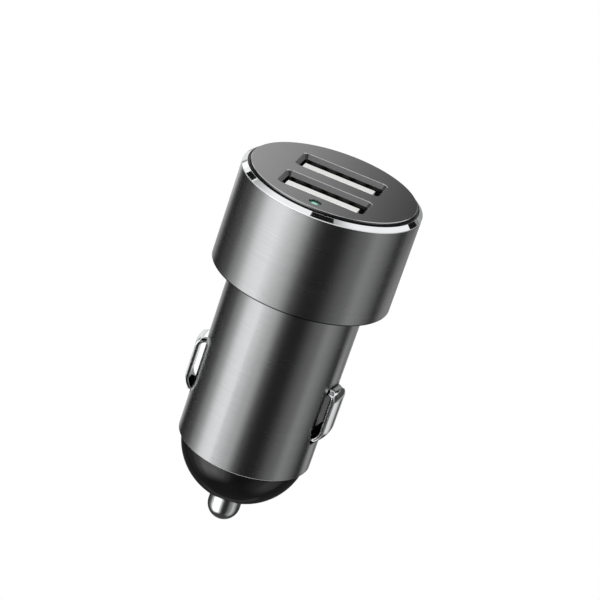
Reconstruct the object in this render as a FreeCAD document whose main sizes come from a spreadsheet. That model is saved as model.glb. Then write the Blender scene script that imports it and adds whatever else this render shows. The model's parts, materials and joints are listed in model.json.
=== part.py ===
import FreeCAD, Part
import math
import operator
import os

import Sketcher

# Car USB charger plug: a round head with two USB-A sockets on a barrel that goes into a 12 V vehicle socket.
# Millimetres. +Z runs along the plug's axis towards the head. The origin is the centre of the head's
# underside, the shoulder that stops on the vehicle socket's rim. +X runs along the USB sockets, and the lamp
# is on the -Y side.

SIZES = {
    # Head
    "head_radius": 13.74,
    "head_side": 15.2,
    "head_wall": 0.9,
    "head_floor": 1.0,
    "barrel_seat": 0.3,
    "edge_break": 0.1,
    "mouth_step": 1.42,
    # Bright trim ring on the head's rim
    "trim_land": 0.12,
    "trim_bevel_width": 0.67,
    "trim_bevel_rise": 0.54,
    "trim_spigot_wall": 0.23,
    "trim_spigot_depth": 0.82,
    # Face plate
    "plate_gap": 0.41,
    "plate_proud": 0.45,
    "plate_thickness": 1.2,
    "plate_edge": 0.08,
    # USB sockets
    "port_pitch": 9.0,
    "port_front_y": -5.3,
    "port_opening_length": 12.5,
    "port_opening_width": 5.12,
    "port_opening_corner": 0.5,
    "recess_end_slope": 0.45,
    "recess_side_slope": 0.34,
    "recess_corner": 0.9,
    "recess_depth": 0.8,
    "port_shell_wall": 0.3,
    "tongue_end_gap": 0.7,
    "tongue_width": 1.84,
    "tongue_back_gap": 0.67,
    "tongue_below_face": 0.4,
    "tongue_edge": 0.12,
    "port_base_height": 1.6,
    "terminal_width": 1.0,
    "terminal_thickness": 0.2,
    "terminal_proud": 0.05,
    "terminal_inner_x": 1.0,
    "terminal_outer_x": 3.5,
    "terminal_end_cover": 0.8,
    "terminal_tail_width": 0.6,
    "terminal_tail_drop": 0.7,
    "tail_hole_radius": 0.42,
    "spring_tab_width": 2.0,
    "spring_tab_length": 5.0,
    "spring_tab_x": 3.1,
    "spring_tab_top_gap": 3.0,
    "spring_slit": 0.3,
    "shell_leg_width": 1.5,
    "shell_leg_length": 0.9,
    # Port carrier, the black cup under the face plate
    "carrier_rim_below_trim": 0.2,
    "carrier_skirt_wall": 0.9,
    "carrier_rim_inset": 0.04,
    # Lamp
    "lamp_hole_radius": 0.9,
    "light_guide_radius": 1.3,
    "light_guide_recess": 0.28,
    "lamp_gap": 0.1,
    "lamp_length": 2.0,
    "lamp_width": 1.25,
    "lamp_height": 0.8,
    "lamp_cap": 0.4,
    # Boards
    "port_board_thickness": 1.0,
    "port_board_inset": 0.24,
    "main_board_thickness": 1.6,
    "main_board_inset": 0.3,
    "main_board_top_gap": 1.1,
    "board_tab_gap": 0.5,
    "board_outer_tab": 1.2,
    "board_foot_width": 6.0,
    "board_foot_shoulder": 0.3,
    # Barrel
    "barrel_radius": 10.45,
    "barrel_length": 28.72,
    "barrel_wall": 1.1,
    "barrel_neck_wall": 0.6,
    "sleeve_wall": 0.8,
    "sleeve_flange_gap": 1.04,
    "sleeve_flange": 0.6,
    # Nose
    "nose_inset": 0.55,
    "nose_centre_rise": 0.8,
    "nose_wall": 1.2,
    "nose_spigot_length": 4.3,
    "nose_floor": 1.6,
    "spring_chamber_radius": 3.45,
    "spring_chamber_wall": 1.05,
    "terminal_seat_width": 0.45,
    # Centre pin and its spring
    "pin_radius": 2.55,
    "pin_proud": 4.3,
    "pin_collar": 1.0,
    "pin_stem_radius": 1.6,
    "pin_stem_length": 2.6,
    "spring_radius": 2.55,
    "spring_wire": 0.5,
    "positive_disc": 0.4,
    "positive_disc_drop": 1.0,
    "positive_lug_width": 2.4,
    "positive_lug_thickness": 0.4,
    "positive_lug_height": 3.6,
    # Side contacts
    "contact_turn": -8.0,
    "contact_width": 4.2,
    "contact_neck_width": 3.0,
    "contact_thickness": 0.6,
    "contact_proud": 1.45,
    "contact_rise": 6.05,
    "contact_length": 9.4,
    "contact_top_bend": 1.6,
    "contact_low_run": 1.0,
    "contact_travel": 1.1,
    "contact_taper": 0.6,
    "contact_foot": 0.9,
    "slot_side_gap": 0.15,
    "slot_end_gap": 0.3,
    "slot_corner": 0.8,
    "ground_spring_width": 1.6,
    "ground_spring_thickness": 0.2,
    "ground_spring_pad": 1.3,
    "ground_spring_rise": 2.1,
    "ground_spring_tip": 0.9,
    # Clearances
    "press_gap": 0.01,
    "running_gap": 0.05,
    "fit_gap": 0.05,
    # Parts on the main board: a rise is measured up from the board's foot, a drop down from its top
    "inductor_side": 7.0,
    "inductor_height": 4.0,
    "inductor_rise": 6.3,
    "inductor_corner": 1.2,
    "input_can_radius": 3.15,
    "input_can_height": 5.8,
    "input_can_drop": 4.3,
    "output_can_radius": 2.5,
    "output_can_height": 4.6,
    "output_can_y": 2.3,
    "output_can_drop": 3.9,
    "can_base": 0.8,
    "can_groove": 0.2,
    "controller_length": 4.9,
    "controller_width": 3.9,
    "controller_height": 1.5,
    "controller_y": -4.2,
    "controller_drop": 3.9,
    "manager_length": 2.9,
    "manager_width": 1.6,
    "manager_height": 1.1,
    "manager_rise": 7.3,
    "lead_pitch": 1.27,
    "manager_lead_pitch": 0.95,
    "lead_width": 0.42,
    "lead_reach": 1.0,
    "lead_thickness": 0.2,
    "diode_length": 4.3,
    "diode_width": 2.6,
    "diode_height": 2.2,
    "diode_y": 4.2,
    "diode_rise": 13.1,
    "fuse_length": 6.1,
    "fuse_width": 2.7,
    "fuse_height": 2.6,
    "fuse_y": -4.9,
    "fuse_rise": 12.5,
    "end_cap": 0.7,
    "cap_proud": 0.05,
    "ceramic_length": 2.0,
    "ceramic_width": 1.25,
    "ceramic_height": 1.1,
    "ceramic_cap": 0.5,
    "resistor_length": 1.6,
    "resistor_width": 0.8,
    "resistor_height": 0.45,
    "resistor_cap": 0.35,
}

SPRING_TURNS = 7
# Degrees round the axis that a side contact's strip is turned through before its sides are cut straight
STRIP_SWEEP = 60
TERMINAL_SIDES = (-1, 1)
# Places on the -X face of the main board: each small part's middle, as y and its rise from the board's foot
CERAMIC_PLACES = ((5.6, 15.7), (5.6, 13.3), (5.6, 10.9), (-5.4, 4.7), (-5.4, 2.3))
RESISTOR_PLACES = ((3.2, 8.7), (3.2, 5.9), (-3.0, 7.9), (-3.0, 5.9), (2.6, 2.9), (-2.0, 2.9))

doc = FreeCAD.newDocument("CarUsbCharger")
sheet = doc.addObject("Spreadsheet::Sheet", "Sizes")
for row, (alias, number) in enumerate(SIZES.items(), start=1):
    sheet.set(f"A{row}", str(number))
    sheet.setAlias(f"A{row}", alias)
doc.recompute()

Vector = FreeCAD.Vector
OPERATORS = {"+": operator.add, "-": operator.sub, "*": operator.mul, "/": operator.truediv}
UP = Vector(0, 0, 1)


class Size:
    """A number with the sheet formula that gives it, so that sums of sizes stay bound to the sheet."""

    def __init__(self, value, formula):
        self.value = value
        self.formula = formula

    def __add__(self, other):
        return joined(self, "+", other)

    def __radd__(self, other):
        return joined(other, "+", self)

    def __sub__(self, other):
        return joined(self, "-", other)

    def __rsub__(self, other):
        return joined(other, "-", self)

    def __mul__(self, other):
        return joined(self, "*", other)

    def __rmul__(self, other):
        return joined(other, "*", self)

    def __truediv__(self, other):
        return joined(self, "/", other)

    def __neg__(self):
        return joined(-1, "*", self)


class Loose(Size):
    """A coordinate that the rest of its outline settles; its value is only where the solver starts."""


def as_size(item):
    """The item as a Size."""
    return item if isinstance(item, Size) else Size(float(item), str(item))


def joined(left, sign, right):
    """Two sizes or numbers joined by an operator."""
    left, right = as_size(left), as_size(right)
    return Size(OPERATORS[sign](left.value, right.value), f"({left.formula} {sign} {right.formula})")


def root(size):
    """Square root of a size."""
    return Size(math.sqrt(size.value), f"sqrt({size.formula})")


def sine(angle):
    """Sine of a size in degrees."""
    return Size(math.sin(math.radians(angle.value)), f"sin({angle.formula} * 1 deg)")


def cosine(angle):
    """Cosine of a size in degrees."""
    return Size(math.cos(math.radians(angle.value)), f"cos({angle.formula} * 1 deg)")


def magnitude(size):
    """A size without its sign."""
    return Size(abs(size.value), f"abs({size.formula})")


def chord_depth(radius, half_width):
    """Distance from a circle's centre to the middle of a chord of the given half width."""
    return root(radius * radius - half_width * half_width)


def loose(size):
    """The same value, left for the solver to settle."""
    return Loose(as_size(size).value, "")


class Sizes:
    """The sheet's cells by name."""

    def __getattr__(self, alias):
        return Size(float(SIZES[alias]), f"Sizes.{alias}")


S = Sizes()


def bind(thing, prop, size):
    """Bind a property to the sheet."""
    thing.setExpression(prop, as_size(size).formula)


def named(thing, label):
    """Give an object the name that its file has."""
    thing.Label = label
    return thing


# Sketches


def plane(body, role):
    """One of a body's own origin planes."""
    return next(item for item in body.Origin.OriginFeatures if item.Role == role)


def new_sketch(body, name, role, height=0, turn=None):
    """Sketch on an origin plane, turned about +Z by turn in degrees and moved along its normal by height."""
    sketch = body.newObject("Sketcher::SketchObject", name)
    sketch.AttachmentSupport = [(plane(body, role), "")]
    sketch.MapMode = "FlatFace"
    if turn is not None:
        sketch.AttachmentOffset = FreeCAD.Placement(Vector(), FreeCAD.Rotation(Vector(0, 1, 0), turn.value))
        bind(sketch, "AttachmentOffset.Rotation.Angle", turn)
        bind(sketch, "AttachmentOffset.Base.x", height * sine(turn))
        height = height * cosine(turn)
    bind(sketch, "AttachmentOffset.Base.z", height)
    return sketch


def fix_point(sketch, side, end, x, y):
    """Hold a point of the sketch at x, y from its origin, apart from loose coordinates."""
    for kind, size in (("DistanceX", x), ("DistanceY", y)):
        size = as_size(size)
        if not isinstance(size, Loose):
            number = sketch.addConstraint(Sketcher.Constraint(kind, -1, 1, side, end, size.value))
            if "Sizes." in size.formula:
                bind(sketch, f"Constraints[{number}]", size)


def outline(sketch, corners, arcs=None):
    """Closed outline through the corners. arcs maps a side's number to its centre where the side is round."""
    arcs = arcs or {}
    corners = [(as_size(x), as_size(y)) for x, y in corners]
    sides = []
    for number, start in enumerate(corners):
        finish = corners[(number + 1) % len(corners)]
        from_point = Vector(start[0].value, start[1].value, 0)
        to_point = Vector(finish[0].value, finish[1].value, 0)
        if number in arcs:
            centre = [as_size(c) for c in arcs[number]]
            middle = Vector(centre[0].value, centre[1].value, 0)
            out, back = from_point - middle, to_point - middle
            left_turn = out.cross(back).z > 0
            if not left_turn:
                out, back = back, out
            circle = Part.Circle(middle, UP, out.Length)
            curve = Part.ArcOfCircle(circle, math.atan2(out.y, out.x), math.atan2(back.y, back.x))
            side = sketch.addGeometry(curve, False)
            fix_point(sketch, side, 3, *centre)
            sides.append((side, 1, 2) if left_turn else (side, 2, 1))
        else:
            sides.append((sketch.addGeometry(Part.LineSegment(from_point, to_point), False), 1, 2))
    for number, (side, start_end, finish_end) in enumerate(sides):
        after = sides[(number + 1) % len(sides)]
        sketch.addConstraint(Sketcher.Constraint("Coincident", side, finish_end, after[0], after[1]))
        fix_point(sketch, side, start_end, *corners[number])


def circle(sketch, radius, x=0, y=0):
    """Circle bound to its radius and centre."""
    x, y, radius = as_size(x), as_size(y), as_size(radius)
    side = sketch.addGeometry(Part.Circle(Vector(x.value, y.value, 0), UP, radius.value), False)
    fix_point(sketch, side, 3, x, y)
    number = sketch.addConstraint(Sketcher.Constraint("Radius", side, radius.value))
    bind(sketch, f"Constraints[{number}]", radius)


def rectangle(sketch, low_x, high_x, low_y, high_y):
    """Rectangle between two corners."""
    outline(sketch, [(low_x, low_y), (high_x, low_y), (high_x, high_y), (low_x, high_y)])


def rounded_rectangle(sketch, length, width, radius, y=0):
    """Rectangle with round corners, centred on x = 0 and on y."""
    right, left = length / 2, length / -2
    top, low = y + width / 2, y - width / 2
    corners = [
        (loose(right), low + radius), (right, top - radius),
        (right - radius, loose(top)), (left + radius, top),
        (loose(left), top - radius), (left, low + radius),
        (left + radius, loose(low)), (right - radius, low),
    ]
    arcs = {
        1: (right - radius, top - radius),
        3: (left + radius, top - radius),
        5: (left + radius, low + radius),
        7: (right - radius, low + radius),
    }
    outline(sketch, corners, arcs)


# Features


def new_body(name):
    """Body with the label of its node."""
    return named(doc.addObject("PartDesign::Body", name), name)


def turned(name, corners, arcs=None):
    """Body turned about +Z from an outline of (radius, height) corners."""
    body = new_body(name)
    sketch = new_sketch(body, f"{name}_section", "XZ_Plane")
    outline(sketch, corners, arcs)
    feature = body.newObject("PartDesign::Revolution", f"{name}_turned")
    feature.Profile = sketch
    feature.ReferenceAxis = (sketch, ["V_Axis"])
    feature.Angle = 360
    return body


def pad(body, sketch, length, midplane=False):
    """Pad along the sketch's normal."""
    feature = body.newObject("PartDesign::Pad", f"{sketch.Name}_pad")
    feature.Profile = sketch
    feature.Midplane = midplane
    bind(feature, "Length", length)
    return feature


def pocket(body, sketch, length=None, forward=False, midplane=False):
    """Pocket against the sketch's normal, or along it when forward, and through all without a length."""
    feature = body.newObject("PartDesign::Pocket", f"{sketch.Name}_pocket")
    feature.Profile = sketch
    feature.Reversed = forward
    feature.Midplane = midplane
    if length is None:
        feature.Type = 1
    else:
        bind(feature, "Length", length)
    return feature


def chamfer(body, name, edges, size):
    """Chamfer some edges of the body as it stands."""
    last = body.Tip
    feature = body.newObject("PartDesign::Chamfer", name)
    feature.Base = (last, edges)
    bind(feature, "Size", size)
    return feature


def mirrored(body, feature, role):
    """Mirror a feature of the body about one of its origin planes."""
    mirror = body.newObject("PartDesign::Mirrored", f"{feature.Name}_mirrored")
    mirror.Originals = [feature]
    mirror.MirrorPlane = (plane(body, role), [""])
    body.Tip = mirror
    return mirror


def place(thing, x=0, y=0, z=0):
    """Bind an object's place to the sheet."""
    for axis, size in (("x", x), ("y", y), ("z", z)):
        bind(thing, f"Placement.Base.{axis}", size)
    return thing


def block(name, low, sides):
    """Box from its low corner and its three sides."""
    box = doc.addObject("Part::Box", name)
    for prop, size in zip(("Length", "Width", "Height"), sides):
        bind(box, prop, size)
    return place(box, *low)


def fused(name, pieces):
    """Several primitives made one solid."""
    whole = named(doc.addObject("Part::MultiFuse", name), name)
    whole.Shapes = pieces
    whole.Refine = True
    return whole


def grouped(name, pieces):
    """Several like pieces kept as separate solids under one name."""
    group = named(doc.addObject("Part::Compound", name), name)
    group.Links = pieces
    return group


# Heights and radii that several pieces share
trim_base = S.head_side
trim_foot = trim_base - S.trim_spigot_depth
bevel_foot = trim_base + S.trim_land
trim_top = bevel_foot + S.trim_bevel_rise
mouth_radius = S.head_radius - S.trim_bevel_width
mouth_floor = trim_base - S.mouth_step
trim_seat_radius = mouth_radius + S.trim_spigot_wall
head_bore = S.head_radius - S.head_wall
plate_radius = mouth_radius - S.plate_gap
plate_top = trim_top + S.plate_proud
plate_floor = plate_top - S.plate_thickness
recess_length = S.port_opening_length + 2 * S.recess_end_slope
recess_width = S.port_opening_width + 2 * S.recess_side_slope
lamp_y = (S.port_front_y - recess_width / 2 - plate_radius) / 2

barrel_bore = S.barrel_radius - S.barrel_wall
neck_radius = barrel_bore + S.barrel_neck_wall
sleeve_radius = barrel_bore - S.fit_gap
sleeve_bore = sleeve_radius - S.sleeve_wall
sleeve_flange_radius = head_bore - S.sleeve_flange_gap
nose_joint = S.nose_spigot_length - S.barrel_length
sleeve_top = S.head_floor + S.sleeve_flange

port_board_top = sleeve_top + S.port_board_thickness
port_rear_y = S.port_front_y + S.port_pitch
shell_length = S.port_opening_length + 2 * S.port_shell_wall
shell_width = S.port_opening_width + 2 * S.port_shell_wall
shell_corner = S.port_opening_corner + S.port_shell_wall
shell_height = plate_floor - port_board_top
tongue_half = S.port_opening_length / 2 - S.tongue_end_gap
tongue_low_y = S.tongue_back_gap - S.port_opening_width / 2
contact_face_y = tongue_low_y + S.tongue_width
terminal_front_y = contact_face_y + S.terminal_proud
terminal_back_y = terminal_front_y - S.terminal_thickness
terminal_top = plate_top - S.tongue_below_face - S.terminal_end_cover
terminal_foot = sleeve_top - S.terminal_tail_drop

board_face = S.main_board_thickness / 2
board_half_width = sleeve_bore - S.main_board_inset
board_top = sleeve_top - S.main_board_top_gap
board_foot_z = nose_joint + S.board_foot_shoulder
port_middle_y = S.port_front_y + S.port_pitch / 2
inner_tab_half = (S.port_pitch - shell_width) / 2 - S.board_tab_gap
outer_tab_low = board_half_width - S.board_outer_tab
tail_half = S.terminal_tail_width / 2

nose_radius = S.barrel_radius - S.nose_inset
nose_centre_z = S.nose_centre_rise - S.barrel_length
dome_low_z = nose_centre_z - nose_radius
pin_tip_z = dome_low_z - S.pin_proud
collar_seat = dome_low_z + S.nose_floor
collar_top = collar_seat + S.pin_collar
boss_top = nose_joint - S.positive_disc_drop
disc_low = boss_top - S.positive_disc
disc_radius = S.spring_chamber_radius + S.terminal_seat_width
boss_radius = S.spring_chamber_radius + S.spring_chamber_wall

contact_low = S.contact_rise - S.barrel_length
contact_top = contact_low + S.contact_length
contact_outer = S.barrel_radius + S.contact_proud
foot_outer = sleeve_bore - 2 * S.fit_gap
foot_inner = foot_outer - S.contact_thickness
low_bend_start = foot_outer + S.contact_low_run
low_bend = contact_outer - low_bend_start
contact_back = contact_outer - S.contact_thickness
recess_floor = chord_depth(contact_back, S.contact_width / 2) - S.contact_travel - S.running_gap


# Head


def head_shell():
    """Turned aluminium head: a cup whose floor the barrel's neck goes through, with a seat for the barrel."""
    hole = neck_radius + S.press_gap
    seat_radius = S.barrel_radius + S.press_gap
    ring_seat = trim_seat_radius + S.press_gap
    return turned("head_shell", [
        (hole, S.barrel_seat),
        (seat_radius, S.barrel_seat),
        (seat_radius, 0),
        (S.head_radius - S.edge_break, 0),
        (S.head_radius, S.edge_break),
        (S.head_radius, trim_base),
        (ring_seat, trim_base),
        (ring_seat, trim_foot),
        (mouth_radius, trim_foot),
        (mouth_radius, mouth_floor),
        (head_bore, mouth_floor),
        (head_bore, S.head_floor),
        (hole, S.head_floor),
    ])


def trim_ring():
    """Polished ring pressed into the head's mouth, with a bevelled top."""
    return turned("trim_ring", [
        (mouth_radius, trim_foot),
        (trim_seat_radius, trim_foot),
        (trim_seat_radius, trim_base),
        (S.head_radius, trim_base),
        (S.head_radius, bevel_foot),
        (mouth_radius, trim_top),
    ])


def face_plate():
    """Satin disc with a sloped recess round each USB opening and a hole for the lamp."""
    body = new_body("face_plate")
    disc = new_sketch(body, "plate_disc", "XY_Plane", plate_floor)
    circle(disc, plate_radius)
    pad(body, disc, S.plate_thickness)
    for place_name, port_y in (("front", S.port_front_y), ("rear", port_rear_y)):
        opening = new_sketch(body, f"opening_{place_name}", "XY_Plane", plate_top)
        rounded_rectangle(
            opening, S.port_opening_length, S.port_opening_width, S.port_opening_corner, port_y)
        pocket(body, opening)
        lip = new_sketch(body, f"recess_lip_{place_name}", "XY_Plane", plate_top)
        rounded_rectangle(lip, recess_length + 2 * S.plate_edge, recess_width + 2 * S.plate_edge,
                          S.recess_corner + S.plate_edge, port_y)
        wide = new_sketch(body, f"recess_top_{place_name}", "XY_Plane", plate_top - S.plate_edge)
        rounded_rectangle(wide, recess_length, recess_width, S.recess_corner, port_y)
        narrow = new_sketch(body, f"recess_floor_{place_name}", "XY_Plane", plate_top - S.recess_depth)
        rounded_rectangle(
            narrow, S.port_opening_length, S.port_opening_width, S.port_opening_corner, port_y)
        slope = body.newObject("PartDesign::SubtractiveLoft", f"recess_{place_name}")
        slope.Profile = lip
        slope.Sections = [wide, narrow]
        slope.Ruled = True
    lamp_hole = new_sketch(body, "lamp_hole", "XY_Plane", plate_top)
    circle(lamp_hole, S.lamp_hole_radius, 0, lamp_y)
    pocket(body, lamp_hole)
    doc.recompute()
    above = plate_top.value - S.plate_edge.value / 2
    round_edges = [f"Edge{number}" for number, edge in enumerate(body.Shape.Edges, start=1)
                   if edge.BoundBox.ZMin > above and edge.isClosed()]
    chamfer(body, "plate_round_bevels", round_edges, S.plate_edge)
    return body


def port_carrier():
    """Black cup under the face plate, round the USB sockets. Its rim is the dark ring round the plate."""
    rim_outer = mouth_radius - S.running_gap
    rim_inner = plate_radius + S.carrier_rim_inset
    skirt_outer = head_bore - S.fit_gap
    skirt_inner = skirt_outer - S.carrier_skirt_wall
    body = turned("port_carrier", [
        (0, mouth_floor),
        (skirt_inner, mouth_floor),
        (skirt_inner, port_board_top),
        (skirt_outer, port_board_top),
        (skirt_outer, mouth_floor),
        (rim_outer, mouth_floor),
        (rim_outer, trim_top - S.carrier_rim_below_trim),
        (rim_inner, trim_top - S.carrier_rim_below_trim),
        (rim_inner, plate_floor),
        (0, plate_floor),
    ])
    holes = new_sketch(body, "carrier_holes", "XY_Plane", plate_floor)
    for port_y in (S.port_front_y, port_rear_y):
        rounded_rectangle(
            holes, shell_length + 2 * S.fit_gap, shell_width + 2 * S.fit_gap, shell_corner, port_y)
    circle(holes, S.light_guide_radius + S.fit_gap, 0, lamp_y)
    pocket(body, holes)
    return body


# USB sockets


def usb_shell(name, port_y):
    """Folded steel shell of a USB-A socket, with four spring tabs and two solder legs."""
    body = new_body(name)
    tube = new_sketch(body, f"{name}_tube", "XY_Plane")
    rounded_rectangle(tube, shell_length, shell_width, shell_corner)
    rounded_rectangle(tube, S.port_opening_length, S.port_opening_width, S.port_opening_corner)
    pad(body, tube, shell_height)
    legs = new_sketch(body, f"{name}_legs", "XY_Plane")
    for side in (-1, 1):
        outer, inner = shell_length / 2 * side, S.port_opening_length / 2 * side
        low, high = (outer, inner) if side < 0 else (inner, outer)
        rectangle(legs, low, high, S.shell_leg_width / -2, S.shell_leg_width / 2)
    feet = pad(body, legs, S.shell_leg_length)
    feet.Reversed = True
    slits = new_sketch(body, f"{name}_tabs", "XZ_Plane")
    top = shell_height - S.spring_tab_top_gap
    low = top - S.spring_tab_length
    for side in (-1, 1):
        middle = S.spring_tab_x * side
        near, far = middle - S.spring_tab_width / 2, middle + S.spring_tab_width / 2
        outline(slits, [
            (near - S.spring_slit, low), (near, low),
            (near, top - S.spring_slit), (far, top - S.spring_slit),
            (far, low), (far + S.spring_slit, low),
            (far + S.spring_slit, top), (near - S.spring_slit, top),
        ])
    pocket(body, slits, 2 * shell_width, midplane=True)
    return place(body, 0, port_y, port_board_top)


def usb_insulator(name, port_y):
    """Pale moulding inside a USB-A socket: a base block and the tongue that carries the terminals."""
    body = new_body(name)
    base = new_sketch(body, f"{name}_base", "XY_Plane")
    rounded_rectangle(base, S.port_opening_length - 2 * S.fit_gap, S.port_opening_width - 2 * S.fit_gap,
                      S.port_opening_corner)
    pad(body, base, S.port_base_height)
    tongue = new_sketch(body, f"{name}_tongue", "XY_Plane")
    rectangle(tongue, -tongue_half, tongue_half, tongue_low_y, contact_face_y)
    height = plate_top - S.tongue_below_face - port_board_top
    pad(body, tongue, height)
    doc.recompute()
    tip_edges = [f"Edge{number}" for number, edge in enumerate(body.Shape.Edges, start=1)
                 if abs(edge.BoundBox.ZMin - height.value) < 0.01 and edge.BoundBox.XLength > 1]
    chamfer(body, f"{name}_tip", tip_edges, S.tongue_edge)
    grooves = new_sketch(body, f"{name}_grooves", "XY_Plane")
    half = S.terminal_width / 2 + S.press_gap
    for x in terminal_places():
        rectangle(grooves, x - half, x + half, terminal_back_y - S.press_gap, terminal_front_y + S.press_gap)
    pocket(body, grooves, terminal_top - port_board_top + S.press_gap, forward=True)
    return place(body, 0, port_y, port_board_top)


def terminal_places():
    """Where the four terminals of a socket stand along X."""
    return [side * size for size in (S.terminal_outer_x, S.terminal_inner_x) for side in TERMINAL_SIDES]


def usb_terminals(name, port_y):
    """The four terminals of a socket, each a strip with a narrow tail through the port board."""
    sketch = doc.addObject("Sketcher::SketchObject", f"{name}_strips")
    sketch.Placement = FreeCAD.Placement(Vector(), FreeCAD.Rotation(Vector(1, 0, 0), 90))
    half = S.terminal_width / 2
    for x in terminal_places():
        outline(sketch, [
            (x - tail_half, terminal_foot), (x + tail_half, terminal_foot),
            (x + tail_half, port_board_top), (x + half, port_board_top),
            (x + half, terminal_top), (x - half, terminal_top),
            (x - half, port_board_top), (x - tail_half, port_board_top),
        ])
    strips = named(doc.addObject("Part::Extrusion", name), name)
    strips.Base = sketch
    strips.DirMode = "Normal"
    strips.Solid = True
    bind(strips, "LengthFwd", S.terminal_thickness)
    return place(strips, 0, port_y + terminal_front_y, 0)


# Lamp and port board


def light_guide():
    """Clear rod that brings the lamp's light to the face plate."""
    tip_radius = S.lamp_hole_radius - S.fit_gap
    foot = port_board_top + S.lamp_height + S.lamp_gap
    tip = plate_top - S.light_guide_recess
    body = turned("light_guide", [
        (0, foot),
        (S.light_guide_radius, foot),
        (S.light_guide_radius, plate_floor),
        (tip_radius, plate_floor),
        (tip_radius, tip),
        (0, tip),
    ])
    return place(body, 0, lamp_y, 0)


def led():
    """Chip lamp under the light guide."""
    low = (S.lamp_length / -2, lamp_y - S.lamp_width / 2, port_board_top)
    return end_capped("led", low, (S.lamp_length, S.lamp_width, S.lamp_height), S.lamp_cap, 0)


def port_board():
    """Round board that the USB sockets stand on."""
    body = new_body("port_board")
    disc = new_sketch(body, "port_board_outline", "XY_Plane", sleeve_top)
    circle(disc, head_bore - S.port_board_inset)
    pad(body, disc, S.port_board_thickness)
    holes = new_sketch(body, "port_board_holes", "XY_Plane", port_board_top)
    tail_y = terminal_front_y - S.terminal_thickness / 2
    leg_half = S.shell_leg_width / 2 + S.fit_gap
    for port_y in (S.port_front_y, port_rear_y):
        for x in terminal_places():
            circle(holes, S.tail_hole_radius, x, port_y + tail_y)
        for side in (-1, 1):
            outer_end = (shell_length / 2 + S.fit_gap) * side
            inner_end = (S.port_opening_length / 2 - S.fit_gap) * side
            low, high = (outer_end, inner_end) if side < 0 else (inner_end, outer_end)
            rectangle(holes, low, high, port_y - leg_half, port_y + leg_half)
    slot_half = board_face + S.fit_gap
    rectangle(holes, -slot_half, slot_half,
              port_middle_y - inner_tab_half - S.fit_gap, port_middle_y + inner_tab_half + S.fit_gap)
    rectangle(holes, -slot_half, slot_half, outer_tab_low - S.fit_gap, board_half_width + S.fit_gap)
    pocket(body, holes)
    return body


# Barrel, sleeve and nose


def side_sketch(body, name, depth=0):
    """Sketch that faces the right side contact, and the width of what that contact goes into."""
    return (new_sketch(body, f"{body.Name}_{name}", "YZ_Plane", depth, S.contact_turn),
            S.contact_width + 2 * S.slot_side_gap)


def cut_both_sides(body, sketch):
    """Cut a sketch's outlines out of the right side, from the sketch outwards, and the same on the left."""
    mirrored(body, pocket(body, sketch, 2 * S.barrel_radius, forward=True), "YZ_Plane")


def barrel_shell():
    """Turned aluminium barrel with a neck that is pressed into the head's floor. Each side contact has a
    shallow recess to be pressed into, with a slot at both ends that its bends and legs go through."""
    low = -S.barrel_length
    body = turned("barrel_shell", [
        (barrel_bore, low),
        (S.barrel_radius - S.edge_break, low),
        (S.barrel_radius, low + S.edge_break),
        (S.barrel_radius, S.barrel_seat),
        (neck_radius, S.barrel_seat),
        (neck_radius, S.head_floor),
        (barrel_bore, S.head_floor),
    ])
    recess, width = side_sketch(body, "recess", recess_floor)
    height = S.contact_length + 2 * S.slot_end_gap
    rounded_rectangle(recess, width, height, S.slot_corner, contact_top - S.contact_length / 2)
    cut_both_sides(body, recess)
    legs, width = side_sketch(body, "legs")
    right, left = width / 2, width / -2
    right_arc, left_arc = right - S.slot_corner, left + S.slot_corner
    top, under = contact_top + S.slot_end_gap, contact_top - S.contact_top_bend
    top_arc = top - S.slot_corner
    outline(legs, [
        (right, under), (right, top_arc), (right_arc, loose(top)),
        (left_arc, top), (loose(left), top_arc), (left, under),
    ], {1: (right_arc, top_arc), 3: (left_arc, top_arc)})
    over, low = contact_low + low_bend, contact_low - S.slot_end_gap
    low_arc = low + S.slot_corner
    outline(legs, [
        (left, over), (left, low_arc), (left_arc, loose(low)),
        (right_arc, low), (loose(right), low_arc), (right, over),
    ], {1: (left_arc, low_arc), 3: (right_arc, low_arc)})
    cut_both_sides(body, legs)
    return body


def insulating_sleeve():
    """Plastic liner of the barrel, with slots for the contacts' legs. Its flange lies on the head's floor."""
    body = turned("insulating_sleeve", [
        (sleeve_bore, nose_joint),
        (sleeve_radius, nose_joint),
        (sleeve_radius, S.head_floor),
        (sleeve_flange_radius, S.head_floor),
        (sleeve_flange_radius, sleeve_top),
        (sleeve_bore, sleeve_top),
    ])
    legs, width = side_sketch(body, "legs")
    pressed_reach = sleeve_radius - low_bend_start + S.contact_travel
    low_leg = low_bend - chord_depth(low_bend - S.contact_thickness, pressed_reach)
    for low, high in ((contact_top - S.contact_thickness, contact_top), (contact_low, contact_low + low_leg)):
        rectangle(legs, width / -2, width / 2, low - S.slot_end_gap, high + S.slot_end_gap)
    cut_both_sides(body, legs)
    return body


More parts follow.
